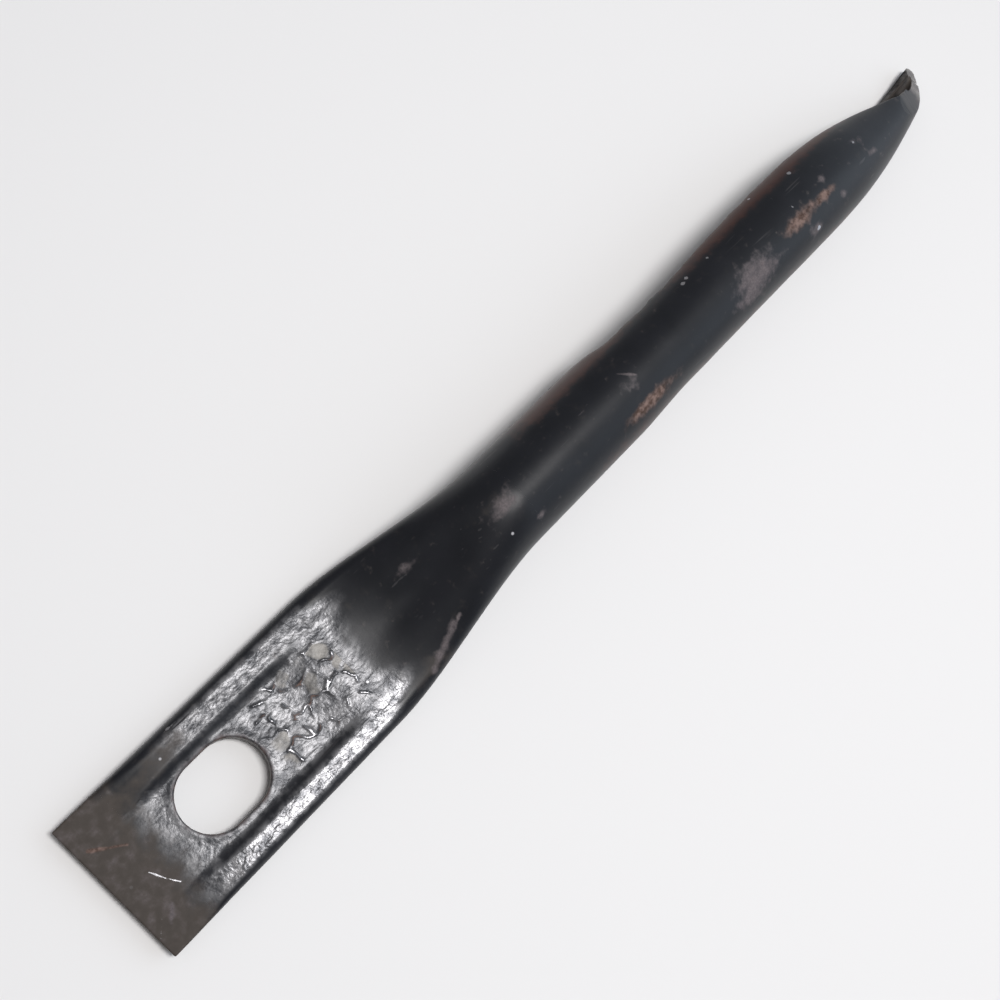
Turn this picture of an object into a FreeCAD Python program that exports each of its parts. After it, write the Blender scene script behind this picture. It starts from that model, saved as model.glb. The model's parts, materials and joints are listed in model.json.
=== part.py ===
"""Pry bar pressed from one length of steel tube.

One end is flattened into a square-ended blade with a sunk panel and an oval pull slot.
The middle stays a round, hollow shank. The other end is slit along its left side and
drawn down into a pointed scoop. The bar lies on the flat underside of its blade and on
the lowest line of the tube, so both are at z = 0.

+X runs from the blade to the scoop's tip, +Y is the slit side and +Z is up.
"""

import FreeCAD, Part
import math
import os

Vector = FreeCAD.Vector

# Overall sizes, mm
LENGTH = 327.0
TUBE_OD = 25.4
WALL = 2.5
BLADE_WIDTH = 39.6

# Blade: two walls pressed together, with a hollow fold left proud along each side
EDGE_THICKNESS = 3.6
FLOOR_HEIGHT = 2 * WALL
RAIL_HEIGHT = 6.5
PANEL_WIDTH = 24.6
PANEL_DRAFT = 1.6
SLOT_WIDTH = 17.8
SLOT_LENGTH = 23.6
SLOT_CENTRE_X = 33.8

# Lengths along the bar, measured from the blade's end
EDGE_END = 13.0
RAMP_LENGTH = 12.0
PANEL_RISE = 60.0
PANEL_END = 72.0
BLADE_END = 74.0
NECK_END = 130.0
SHANK_END = 172.0

# Dent between the two ridges of the neck
DENT_DEPTH = 2.6
DENT_HALF_WIDTH = 6.5

TUBE_R = TUBE_OD / 2
BORE_R = TUBE_R - WALL

# The neck's outside is lofted through these stations, and its cavity through these ellipses:
# distance from the blade's end, half width, half height and height of the centre.
NECK_STATIONS = [BLADE_END, 80.0, 87.0, 95.0, 103.0, 112.0, 121.0, NECK_END]
CAVITY_ROWS = [
    (94.0, 8.0, 0.6, 3.6),
    (104.0, 10.0, 2.8, 6.4),
    (116.0, 10.3, 7.0, 10.2),
    (NECK_END, BORE_R, BORE_R, TUBE_R),
]

# The slit tube at stations along the bar: distance from the blade's end, outermost y of the
# fold on the right, middle y, top z, bottom z, the angles of the upper and lower cut edge
# round the section, counted from +Y over the top, and the wall's thickness at the fold.
TROUGH_ROWS = [
    (SHANK_END, -12.65, 0.0, 25.4, 0.0, 16, 344, WALL),
    (184.0, -12.0, 0.1, 25.4, 0.0, 27, 333, WALL),
    (200.0, -11.8, 0.3, 25.4, 0.0, 29, 327, WALL),
    (225.0, -11.7, 1.0, 25.4, 0.0, 29, 319, WALL),
    (245.0, -11.7, 1.2, 24.9, 0.0, 29, 316, WALL),
    (262.0, -11.6, 1.1, 23.4, 0.0, 29, 315, WALL),
]
POINT_ROWS = TROUGH_ROWS[-1:] + [
    (275.0, -11.0, 0.7, 21.0, 0.0, 30, 313, WALL),
    (288.0, -9.6, 0.1, 17.6, 0.0, 32, 314, WALL),
    (301.0, -7.4, 0.0, 14.0, 0.1, 51, 313, 3.3),
    (314.0, -4.6, 1.2, 10.5, 0.5, 93, 322, 5.2),
    (LENGTH, -0.8, 3.3, 8.6, 1.3, 140, 344, 4.6),
]

# Outline of the tip seen from above: a rounded nose and the slope back from it on the right
NOSE_X = 324.4
NOSE_Y = 5.0
NOSE_R = LENGTH - NOSE_X

# Plane that the top of the tip is ground to: a point on it and its outward normal
GROUND_POINT = Vector(LENGTH, 5.0, 1.5)
GROUND_NORMAL = Vector(0.58, -0.26, 1.0)

# Points round a section of the tube, closed or slit, and how far a cutting shape reaches
# past the faces that it cuts
CLOSED_POINTS = 48
ARC_POINTS = 15
CLEAR = 5.0


def smooth(value, low, high):
    """Rise smoothly from 0 at low to 1 at high."""
    t = min(1.0, max(0.0, (value - low) / (high - low)))
    return t * t * (3 - 2 * t)


def blade_outline(fraction):
    """Point (y, z) at a fraction of the way round the blade's section, from +Y over the top."""
    radius = RAIL_HEIGHT / 2
    flat = BLADE_WIDTH - RAIL_HEIGHT
    quarter = math.pi * radius / 2
    run = fraction * (2 * flat + 4 * quarter)
    if run <= quarter:
        angle = run / radius
        return flat / 2 + radius * math.cos(angle), radius + radius * math.sin(angle)
    if run <= quarter + flat:
        return flat / 2 - (run - quarter), RAIL_HEIGHT
    if run <= 3 * quarter + flat:
        angle = math.pi / 2 + (run - quarter - flat) / radius
        return -flat / 2 + radius * math.cos(angle), radius + radius * math.sin(angle)
    if run <= 3 * quarter + 2 * flat:
        return -flat / 2 + (run - 3 * quarter - flat), 0.0
    angle = -math.pi / 2 + (run - 3 * quarter - 2 * flat) / radius
    return flat / 2 + radius * math.cos(angle), radius + radius * math.sin(angle)


def neck_point(x, fraction):
    """Outer point of the neck: the blade's section turning into the round tube."""
    share = smooth(x, BLADE_END, NECK_END)
    flat_y, flat_z = blade_outline(fraction)
    angle = 2 * math.pi * fraction
    round_y = TUBE_R * math.cos(angle)
    round_z = TUBE_R + TUBE_R * math.sin(angle)
    y = (1 - share) * flat_y + share * round_y
    z = (1 - share) * flat_z + share * round_z
    if fraction < 0.5:
        dent = math.sin(math.pi * smooth(x, BLADE_END, NECK_END))
        z -= DENT_DEPTH * dent * math.exp(-((y / DENT_HALF_WIDTH) ** 2))
    return Vector(x, y, z)


def closed_wire(points):
    """Smooth closed wire through the points."""
    curve = Part.BSplineCurve()
    curve.interpolate(points, PeriodicFlag=True)
    return Part.Wire([curve.toShape()])


def neck_wire(x):
    """Outer wire of the neck at one station."""
    return closed_wire([neck_point(x, i / CLOSED_POINTS) for i in range(CLOSED_POINTS)])


def ellipse_wire(x, half_width, half_height, centre_z):
    """Upright ellipse across the bar, for the cavity of the neck."""
    points = []
    for i in range(CLOSED_POINTS):
        angle = 2 * math.pi * i / CLOSED_POINTS
        y = half_width * math.cos(angle)
        points.append(Vector(x, y, centre_z + half_height * math.sin(angle)))
    return closed_wire(points)


def wall_arc(row, inset, fold_inset):
    """Points on one face of the slit tube's wall, inset from the outside."""
    x, fold_y, middle_y, top, bottom, upper_angle, lower_angle, _ = row
    half_width = middle_y - fold_y - (inset + fold_inset) / 2
    half_height = (top - bottom) / 2 - inset
    centre_y = middle_y + (fold_inset - inset) / 2
    centre_z = (top + bottom) / 2
    points = []
    for i in range(ARC_POINTS):
        angle = math.radians(upper_angle + (lower_angle - upper_angle) * i / (ARC_POINTS - 1))
        y = centre_y + half_width * math.cos(angle)
        points.append(Vector(x, y, centre_z + half_height * math.sin(angle)))
    return points


def open_wire(row):
    """Closed wire round the C-shaped wall of the slit tube at one station."""
    outer = wall_arc(row, 0.0, 0.0)
    inner = wall_arc(row, WALL, row[-1])[::-1]
    faces = []
    for points in (outer, inner):
        curve = Part.BSplineCurve()
        curve.interpolate(points)
        faces.append(curve.toShape())
    lower_cap = Part.makeLine(outer[-1], inner[0])
    upper_cap = Part.makeLine(inner[-1], outer[0])
    return Part.Wire([faces[0], lower_cap, faces[1], upper_cap])


def half_space(point, normal):
    """Block that fills everything on the outward side of a plane, near the point."""
    turn = FreeCAD.Rotation(Vector(0, 0, 1), normal)
    block = Part.makeBox(2 * LENGTH, 2 * LENGTH, LENGTH, Vector(-LENGTH, -LENGTH, 0))
    block.Placement = FreeCAD.Placement(point, turn)
    return block


def tip_outline():
    """Upright prism that holds everything inside the tip's outline."""
    centre = Vector(NOSE_X, NOSE_Y, -TUBE_OD)
    reach = 2 * TUBE_OD
    slant = NOSE_R / math.sqrt(2)
    left = centre + Vector(0, NOSE_R, 0)
    middle = centre + Vector(NOSE_R, 0, 0)
    right = centre + Vector(slant, -slant, 0)
    arc = Part.Arc(left, middle, right).toShape()
    corners = [
        right,
        right - Vector(reach, reach, 0),
        centre - Vector(3 * reach, reach, 0),
        centre + Vector(-3 * reach, reach, 0),
        centre + Vector(0, reach, 0),
        left,
    ]
    wire = Part.Wire([arc] + Part.makePolygon(corners).Edges)
    return Part.Face(wire).extrude(Vector(0, 0, 3 * TUBE_OD))


def pull_slot():
    """Prism of the oval slot, longer along the bar than across it."""
    radius = SLOT_WIDTH / 2
    reach = SLOT_LENGTH / 2 - radius
    low = -CLEAR
    depth = RAIL_HEIGHT + 2 * CLEAR
    box = Part.makeBox(2 * reach, SLOT_WIDTH, depth, Vector(SLOT_CENTRE_X - reach, -radius, low))
    for sign in (-1, 1):
        end = Part.makeCylinder(radius, depth, Vector(SLOT_CENTRE_X + sign * reach, 0, low))
        box = box.fuse(end)
    return box.removeSplitter()


def folded_plate(start, end):
    """Flattened tube at full rail height, with its two rounded folds."""
    radius = RAIL_HEIGHT / 2
    flat = BLADE_WIDTH - RAIL_HEIGHT
    run = end - start
    plate = Part.makeBox(run, flat, RAIL_HEIGHT, Vector(start, -flat / 2, 0))
    for side in (-1, 1):
        fold = Part.makeCylinder(radius, run, Vector(start, side * flat / 2, radius), Vector(1, 0, 0))
        plate = plate.fuse(fold)
    return plate.removeSplitter()


def sunk_panel():
    """Prism of the sunk panel, with drafted side walls and a floor that rises out at its end."""
    start = EDGE_END - CLEAR
    floor_half = PANEL_WIDTH / 2 - PANEL_DRAFT
    slope = PANEL_DRAFT / (RAIL_HEIGHT - FLOOR_HEIGHT)
    top_half = PANEL_WIDTH / 2 + slope * CLEAR
    top = RAIL_HEIGHT + CLEAR
    corners = [
        Vector(start, floor_half, FLOOR_HEIGHT),
        Vector(start, top_half, top),
        Vector(start, -top_half, top),
        Vector(start, -floor_half, FLOOR_HEIGHT),
    ]
    section = Part.Face(Part.makePolygon(corners + corners[:1]))
    prism = section.extrude(Vector(BLADE_END - start, 0, 0))
    reach = CLEAR * (PANEL_END - PANEL_RISE) / (RAIL_HEIGHT - FLOOR_HEIGHT)
    below = [
        Vector(PANEL_RISE, -BLADE_WIDTH, FLOOR_HEIGHT),
        Vector(PANEL_END + reach, -BLADE_WIDTH, RAIL_HEIGHT + CLEAR),
        Vector(PANEL_END + reach, -BLADE_WIDTH, FLOOR_HEIGHT),
    ]
    rising = Part.Face(Part.makePolygon(below + below[:1])).extrude(Vector(0, 2 * BLADE_WIDTH, 0))
    return prism.cut(rising)


def lead_in():
    """Wedge that takes the rails down from full height to the panel's floor at the edge."""
    side = [
        Vector(EDGE_END, -BLADE_WIDTH, FLOOR_HEIGHT),
        Vector(EDGE_END + RAMP_LENGTH, -BLADE_WIDTH, RAIL_HEIGHT),
        Vector(EDGE_END + RAMP_LENGTH, -BLADE_WIDTH, RAIL_HEIGHT + CLEAR),
        Vector(EDGE_END, -BLADE_WIDTH, RAIL_HEIGHT + CLEAR),
    ]
    return Part.Face(Part.makePolygon(side + side[:1])).extrude(Vector(0, 2 * BLADE_WIDTH, 0))


def pry_edge():
    """Flat, thinned end of the blade."""
    top = [
        Vector(0, -BLADE_WIDTH, EDGE_THICKNESS),
        Vector(EDGE_END, -BLADE_WIDTH, FLOOR_HEIGHT),
        Vector(EDGE_END, -BLADE_WIDTH, RAIL_HEIGHT + CLEAR),
        Vector(0, -BLADE_WIDTH, RAIL_HEIGHT + CLEAR),
    ]
    above = Part.Face(Part.makePolygon(top + top[:1])).extrude(Vector(0, 2 * BLADE_WIDTH, 0))
    return folded_plate(0, EDGE_END).cut(above)


def slotted_blade():
    """Blade with its sunk panel and its pull slot."""
    return folded_plate(EDGE_END, BLADE_END).cut([lead_in(), sunk_panel(), pull_slot()])


def neck():
    """Neck, with the cavity that opens from the pressed walls into the tube."""
    outer = Part.makeLoft([neck_wire(x) for x in NECK_STATIONS], True)
    return outer.cut(Part.makeLoft([ellipse_wire(*row) for row in CAVITY_ROWS], True))


def tube_shank():
    """Plain round tube."""
    run = SHANK_END - NECK_END
    start = Vector(NECK_END, 0, TUBE_R)
    along = Vector(1, 0, 0)
    tube = Part.makeCylinder(TUBE_R, run, start, along)
    return tube.cut(Part.makeCylinder(BORE_R, run, start, along))


def scoop_trough():
    """Slit tube, open on its left side."""
    return Part.makeLoft([open_wire(row) for row in TROUGH_ROWS], True)


def scoop_point():
    """Slit tube drawn down to a ground tip."""
    body = Part.makeLoft([open_wire(row) for row in POINT_ROWS], True)
    return body.common(tip_outline()).cut(half_space(GROUND_POINT, GROUND_NORMAL))


NODES = {
    "pry_edge": pry_edge,
    "slotted_blade": slotted_blade,
    "neck": neck,
    "tube_shank": tube_shank,
    "scoop_trough": scoop_trough,
    "scoop_point": scoop_point,
}

os.makedirs("parts", exist_ok=True)
for name, make in NODES.items():
    shape = make()
    shape.translate(Vector(-LENGTH / 2, 0, 0))
    box = shape.BoundBox
    print(name, shape.ShapeType, "solids", len(shape.Solids), "valid", shape.isValid(),
          "volume %.0f" % shape.Volume,
          "x %.2f..%.2f" % (box.XMin, box.XMax),
          "y %.2f..%.2f" % (box.YMin, box.YMax),
          "z %.2f..%.2f" % (box.ZMin, box.ZMax))
    shape.exportStep("parts/%s.step" % name)
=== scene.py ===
import json
import math

import bmesh
import bpy
import numpy as np
from mathutils import Matrix, Vector, noise


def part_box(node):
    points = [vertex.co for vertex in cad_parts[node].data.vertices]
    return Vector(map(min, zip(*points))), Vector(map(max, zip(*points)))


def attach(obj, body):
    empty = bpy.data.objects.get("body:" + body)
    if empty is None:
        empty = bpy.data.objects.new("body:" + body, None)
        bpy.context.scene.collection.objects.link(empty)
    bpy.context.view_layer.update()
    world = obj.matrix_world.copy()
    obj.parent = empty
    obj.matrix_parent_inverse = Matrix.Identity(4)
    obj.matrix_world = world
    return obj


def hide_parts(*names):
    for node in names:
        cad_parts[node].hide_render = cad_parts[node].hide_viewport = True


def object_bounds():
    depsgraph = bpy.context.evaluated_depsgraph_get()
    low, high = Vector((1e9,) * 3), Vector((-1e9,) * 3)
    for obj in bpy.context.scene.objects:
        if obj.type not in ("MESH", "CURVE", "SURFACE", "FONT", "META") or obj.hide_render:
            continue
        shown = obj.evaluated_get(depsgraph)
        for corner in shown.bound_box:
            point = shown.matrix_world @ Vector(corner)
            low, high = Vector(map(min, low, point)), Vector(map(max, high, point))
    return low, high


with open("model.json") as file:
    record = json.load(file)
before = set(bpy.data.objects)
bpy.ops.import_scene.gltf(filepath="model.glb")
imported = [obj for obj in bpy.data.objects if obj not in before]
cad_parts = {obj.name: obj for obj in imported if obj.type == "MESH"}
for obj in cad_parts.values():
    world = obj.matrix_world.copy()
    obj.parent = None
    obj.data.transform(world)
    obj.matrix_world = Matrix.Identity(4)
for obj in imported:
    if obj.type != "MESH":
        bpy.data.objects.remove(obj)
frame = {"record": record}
cad_low, cad_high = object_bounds()

# The room: a plain pale floor, a softbox over the bar that the pressed blade mirrors, a wide
# cool window on the right beyond the tip, and a dim surround that is lighter past the tip.
MM = 0.001
FLOOR_SIZE = 6.0
FLOOR_GAP = 0.1 * MM


def softbox(name, centre, target, size, watts, colour):
    """Rectangular soft light, turned to face the target."""
    light = bpy.data.lights.new(name, "AREA")
    light.shape = "RECTANGLE"
    light.size, light.size_y = size
    light.energy = watts
    light.color = colour
    lamp = bpy.data.objects.new(name, light)
    lamp.location = centre
    lamp.rotation_euler = (Vector(target) - Vector(centre)).to_track_quat("-Z", "Y").to_euler()
    bpy.context.scene.collection.objects.link(lamp)


def node(tree, kind, inputs=None, **settings):
    """Node with its settings, and its inputs given as values or as other nodes' outputs."""
    made = tree.nodes.new(kind)
    for key, value in settings.items():
        setattr(made, key, value)
    for key, value in (inputs or {}).items():
        if isinstance(value, bpy.types.NodeSocket):
            tree.links.new(value, made.inputs[key])
        else:
            made.inputs[key].default_value = value
    return made


def material(name):
    """New node material, its tree and its shader."""
    made = bpy.data.materials.new(name)
    made.use_nodes = True
    return made, made.node_tree, made.node_tree.nodes["Principled BSDF"]


blade_end = cad_low.x
middle = Vector(((cad_low.x + cad_high.x) / 2, 0, 0))

half = FLOOR_SIZE / 2
floor_mesh = bpy.data.meshes.new("floor")
floor_mesh.from_pydata(
    [(-half, -half, 0), (half, -half, 0), (half, half, 0), (-half, half, 0)], [], [(0, 1, 2, 3)])
floor = bpy.data.objects.new("floor", floor_mesh)
floor.location.z = cad_low.z - FLOOR_GAP
bpy.context.scene.collection.objects.link(floor)
floor_paint, _, floor_shader = material("floor_paint")
floor_shader.inputs["Base Color"].default_value = (0.76, 0.76, 0.76, 1)
floor_shader.inputs["Roughness"].default_value = 0.9
floor_shader.inputs["Specular IOR Level"].default_value = 0.1
floor_mesh.materials.append(floor_paint)

softbox("overhead", (0.06, -0.16, 1.0), (-0.09, 0, 0), (0.22, 0.4), 8.5, (1.0, 0.98, 0.97))
softbox("window", (1.3, -1.1, 1.0), middle, (1.6, 1.3), 5.5, (0.8, 0.9, 1.0))
world = bpy.data.worlds.new("surround")
world.use_nodes = True
sky = world.node_tree
heading = node(sky, "ShaderNodeTexCoord").outputs["Generated"]
LIGHT_SIDE = (0.9, -0.35, -0.1)
side = node(sky, "ShaderNodeVectorMath", {0: heading, 1: LIGHT_SIDE}, operation="DOT_PRODUCT")
shade = node(sky, "ShaderNodeValToRGB", {"Fac": side.outputs["Value"]})
shade.color_ramp.elements[0].position = 0.3
shade.color_ramp.elements[0].color = (0.24, 0.23, 0.23, 1)
shade.color_ramp.elements[1].position = 0.9
shade.color_ramp.elements[1].color = (0.95, 1.06, 1.2, 1)
sky.links.new(shade.outputs["Color"], sky.nodes["Background"].inputs["Color"])
bpy.context.scene.world = world
bpy.context.scene.view_settings.view_transform = "Standard"

# The camera looks down on the blade's end and is tipped towards the scoop.
CAMERA_TILT = math.radians(20.59)
camera_data = bpy.data.cameras.new("camera")
camera_data.lens = 53.0
camera_data.sensor_width = 36.0
camera_data.clip_start = 0.01
camera = bpy.data.objects.new("camera", camera_data)
along = Vector((math.cos(CAMERA_TILT), 0, math.sin(CAMERA_TILT)))
across = Vector((0, 1, 0))
back = along.cross(across)
right = (along - across).normalized()
up = (along + across).normalized()
turn = Matrix((right, up, back)).transposed().to_4x4()
camera.matrix_world = Matrix.Translation((blade_end, 1.35 * MM, 357.1 * MM)) @ turn
bpy.context.scene.collection.objects.link(camera)
bpy.context.scene.camera = camera

# The pry edge: the last stretch of the pressed blade, both walls squeezed solid and thinned.
# Its paint is rubbed down to brown steel, and a fine closed seam shows in its end face.
EDGE_THICKNESS = 3.6
FLOOR_HEIGHT = 5.0
RAMP_SLOPE = 0.125
RAMP_BLEND = 0.5
PANEL_WIDTH = 25.3
PANEL_SHIFT = -0.6
WALL_SPREAD = 1.9
PANEL_RISE = 58.0
PANEL_END = 72.0
TOP_CELLS = 140
FOLD_CELLS = 16
PLATE_STEP = 0.25
EDGE_ROUND = 0.45
SEAM_DEPTH = 0.35
FLAKE_START, FLAKE_END = 49.0, 76.0
FLAKE_HALF_WIDTH = 9.5
FLAKE_SPACING = 5.2
FLAKE_LIFT = 0.24
FLAKE_SEED = 11
FLAKE_REACH = (18, 13)
FLAKE_BEND = 0.8
FLAKE_SCATTER = 1.9
FLAKE_SINK = 0.4
SEAM_ROWS = (0.25, 0.43, 0.47, 0.5, 0.53, 0.57, 0.75)
SKIN, INSIDE, CUT, JOIN, GROUND, NOSE = range(6)
WEAR_AND_PAINTED_LIGHT = ("crinkle", "rust", "rubbed", "dust", "bright", "tarnish", "flaked")
TAN_SCRATCHES = ((2.8, 11.0, 6.0, 8.6, 0.6, 0.85), (6.0, 8.6, 9.7, 5.9, 0.5, 0.75))
BRIGHT_SCRATCHES = ((8.8, -2.0, 10.4, -5.6, 0.22, 0.75), (10.4, -5.6, 12.2, -8.6, 0.2, 0.7),
                    (0.6, -14.5, 3.7, -11.6, 0.2, 0.6), (32.5, 18.2, 37.5, 18.2, 0.25, 0.6))
DULL_SCRATCHES = ((4.5, -13.6, 7.6, -10.8, 0.5, 0.5),)
WRINKLE_STRETCH = (0.6, 1.0, 1.0)
WRINKLE_END = 78.5
SHARP_ANGLE = math.radians(42)
ENAMEL_RELIEF = 0.06 * MM
METAL_RELIEF = 0.08 * MM
GLOSS_SPREAD = 0.2


def stretch(name):
    """Where a node starts and stops, in millimetres from the blade's end."""
    low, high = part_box(name)
    return (low.x - blade_end) / MM, (high.x - blade_end) / MM


def rise(value, low, high):
    """Smooth rise from 0 at low to 1 at high."""
    t = np.clip((np.asarray(value, float) - low) / (high - low), 0, 1)
    return t * t * (3 - 2 * t)


def bell(value, centre, width):
    """Smooth bump of height 1."""
    return np.exp(-(((np.asarray(value, float) - centre) / width) ** 2))


def spots(points, places):
    """Soft patches at (x, y, length, width, strength), on the upper side."""
    share = np.zeros(len(points))
    for x, y, length, width, strength in places:
        share += strength * bell(points[:, 0], x, length) * bell(points[:, 1], y, width)
    return share


def scratches(points, places):
    """Narrow marks along lines from (x, y) to (x, y), with their width and strength."""
    share = np.zeros(len(points))
    for start_x, start_y, end_x, end_y, width, strength in places:
        start, line = np.array((start_x, start_y)), np.array((end_x - start_x, end_y - start_y))
        along_line = np.clip((points[:, :2] - start) @ line / (line @ line), 0, 1)
        gap = np.linalg.norm(points[:, :2] - start - along_line[:, None] * line, axis=1)
        share = np.maximum(share, strength * bell(gap, 0, width) * (points[:, 2] > 2))
    return share


def ripple(points, size, seed):
    """Smooth noise from -1 to 1 at each point."""
    shift = Vector((seed, 0, 0))
    return np.array([noise.noise(Vector(p) / size + shift) for p in points])


class Skin:
    """Points and faces of one piece, in millimetres from the middle of the blade's end."""

    def __init__(self):
        self.points, self.faces, self.finish = [], [], []

    def add(self, points):
        """Adds points and returns their numbers, in the same grid."""
        points = np.asarray(points, float)
        first = len(self.points)
        self.points.extend(points.reshape(-1, 3).tolist())
        return np.arange(first, len(self.points)).reshape(points.shape[:-1])

    def quads(self, grid, finish, skip=None):
        """Faces between neighbouring points of a grid, except where skip is true."""
        corners = np.stack([grid[:-1, :-1], grid[:-1, 1:], grid[1:, 1:], grid[1:, :-1]], -1)
        if skip is not None:
            corners = corners[~skip]
        self.faces.extend(corners.reshape(-1, 4).tolist())
        self.finish.extend([finish] * (corners.size // 4))

    def polygon(self, numbers, finish):
        """One flat face."""
        self.faces.append([int(n) for n in numbers])
        self.finish.append(finish)

    def piece(self, name, node_name, marks, materials, slot, cut=None):
        """Closes the mesh, cuts it, works its surface and puts it in the frame."""
        mesh = bpy.data.meshes.new(name)
        mesh.from_pydata(self.points, [], self.faces)
        mesh.attributes.new("finish", "INT", "FACE").data.foreach_set("value", self.finish)
        work = bmesh.new()
        work.from_mesh(mesh)
        bmesh.ops.remove_doubles(work, verts=work.verts, dist=0.002)
        bmesh.ops.recalc_face_normals(work, faces=work.faces)
        work.to_mesh(mesh)
        work.free()
        if cut is not None:
            mesh = cut(mesh)
        set_marks(mesh, marks)
        mesh.transform(Matrix.Translation((blade_end, 0, 0)) @ Matrix.Scale(MM, 4))
        made = bpy.data.objects.new(name, mesh)
        bpy.context.scene.collection.objects.link(made)
        work_surface(made, materials)
        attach(made, "root")
        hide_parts(node_name)
        return made


def set_marks(mesh, marks):
    """Stores each point's outward direction and its shares of wrinkling with its painted sheen,
    swell, wear and painted reflection.
    """
    count = len(mesh.vertices)
    points = np.empty(count * 3)
    mesh.vertices.foreach_get("co", points)
    points = points.reshape(-1, 3)
    normals = np.empty(len(mesh.polygons) * 3)
    mesh.polygons.foreach_get("normal", normals)
    sides = np.empty(len(mesh.polygons), int)
    mesh.polygons.foreach_get("loop_total", sides)
    corners = np.empty(len(mesh.loops), int)
    mesh.loops.foreach_get("vertex_index", corners)
    finish = np.empty(len(mesh.polygons), int)
    mesh.attributes["finish"].data.foreach_get("value", finish)
    weighted = normals.reshape(-1, 3) * (finish != JOIN)[:, None]
    outward = np.zeros((count, 3))
    np.add.at(outward, corners, np.repeat(weighted, sides, 0))
    inner = np.zeros(count)
    np.add.at(inner, corners, np.repeat((finish == INSIDE).astype(float), sides))
    outward /= np.maximum(np.linalg.norm(outward, axis=1), 1e-6)[:, None]
    mesh.attributes.new("outward", "FLOAT_VECTOR", "POINT").data.foreach_set(
        "vector", outward.ravel())
    shares = {"swell": np.where(inner > 0, 0.0, 1.0), **dict.fromkeys(WEAR_AND_PAINTED_LIGHT, 0)}
    shares.update(marks(points))
    for key, value in shares.items():
        values = np.ascontiguousarray(np.broadcast_to(value, count), np.float32)
        mesh.attributes.new(key, "FLOAT", "POINT").data.foreach_set("value", values)


def skin_tree():
    """Geometry nodes that wrinkle and swell a skin inwards and give each face its finish."""
    tree = bpy.data.node_groups.new("worked_skin", "GeometryNodeTree")
    face = tree.interface
    face.new_socket("Geometry", in_out="INPUT", socket_type="NodeSocketGeometry")
    for label, value in (("Wrinkle Size", 2.2 * MM), ("Wrinkle Height", 0.12 * MM),
                         ("Swell Size", 9 * MM), ("Swell Height", 0.12 * MM)):
        face.new_socket(label, in_out="INPUT", socket_type="NodeSocketFloat").default_value = value
    for label in ("Skin Finish", "Inside Finish", "Cut Finish"):
        face.new_socket(label, in_out="INPUT", socket_type="NodeSocketMaterial")
    face.new_socket("Geometry", in_out="OUTPUT", socket_type="NodeSocketGeometry")
    given = tree.nodes.new("NodeGroupInput").outputs
    place = node(tree, "GeometryNodeInputPosition").outputs[0]
    place = node(tree, "ShaderNodeVectorMath", {0: place, 1: WRINKLE_STRETCH},
                 operation="MULTIPLY").outputs[0]

    def share(name, kind="FLOAT"):
        return node(tree, "GeometryNodeInputNamedAttribute", {"Name": name},
                    data_type=kind).outputs[0]

    def sums(operation, a, b):
        return node(tree, "ShaderNodeMath", {0: a, 1: b}, operation=operation).outputs[0]

    def field(size, detail, distortion):
        scale = sums("DIVIDE", 1.0, size)
        return node(tree, "ShaderNodeTexNoise",
                    {"Vector": place, "Scale": scale, "Detail": detail, "Distortion": distortion},
                    noise_dimensions="3D").outputs[0]

    fold = sums("ABSOLUTE", sums("SUBTRACT", field(given["Wrinkle Size"], 1.0, 0.9), 0.5), 0.0)
    crease = sums("SUBTRACT", 1.0, sums("MINIMUM", sums("MULTIPLY", fold, 8.0), 1.0))
    lumps = field(sums("MULTIPLY", given["Wrinkle Size"], 0.8), 1.0, 1.5)
    wrinkle = sums("ADD", sums("MULTIPLY", crease, 0.35), sums("MULTIPLY", lumps, 1.7))
    wrinkle = sums("MULTIPLY", wrinkle, given["Wrinkle Height"])
    wrinkle = sums("MULTIPLY", wrinkle, share("crinkle"))
    swell = sums("MULTIPLY", sums("MULTIPLY", field(given["Swell Size"], 1.0, 0.0),
                                  given["Swell Height"]), share("swell"))
    sink = sums("MULTIPLY", sums("ADD", wrinkle, swell), -1.0)
    outward = share("outward", "FLOAT_VECTOR")
    offset = node(tree, "ShaderNodeVectorMath", {0: outward, "Scale": sink},
                  operation="SCALE").outputs[0]
    shape = node(tree, "GeometryNodeSetPosition",
                 {"Geometry": given["Geometry"], "Offset": offset})
    shape = node(tree, "GeometryNodeRealizeInstances", {"Geometry": shape.outputs[0]})
    for number, label in ((SKIN, "Skin Finish"), (GROUND, "Skin Finish"), (NOSE, "Skin Finish"),
                          (INSIDE, "Inside Finish"), (CUT, "Cut Finish")):
        chosen = node(tree, "FunctionNodeCompare", {2: share("finish", "INT"), 3: number},
                      data_type="INT", operation="EQUAL").outputs[0]
        shape = node(tree, "GeometryNodeSetMaterial",
                     {"Geometry": shape.outputs[0], "Selection": chosen, "Material": given[label]})
    node(tree, "NodeGroupOutput", {"Geometry": shape.outputs[0]})
    return tree


def work_surface(made, materials):
    """Runs the skin tree on a piece and bakes what it gives into the piece's own mesh."""
    modifier = made.modifiers.new("worked_skin", "NODES")
    modifier.node_group = worked_skin
    sockets = {s.name: s.identifier for s in worked_skin.interface.items_tree
               if s.in_out == "INPUT"}
    for label, value in materials.items():
        modifier[sockets[label]] = value
    graph = bpy.context.evaluated_depsgraph_get()
    baked = bpy.data.meshes.new_from_object(made.evaluated_get(graph))
    made.modifiers.clear()
    made.data = baked
    baked.name = made.name
    baked.shade_smooth()
    baked.set_sharp_from_angle(angle=SHARP_ANGLE)
    for key in ("outward", "swell", "finish"):
        baked.attributes.remove(baked.attributes[key])


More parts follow.
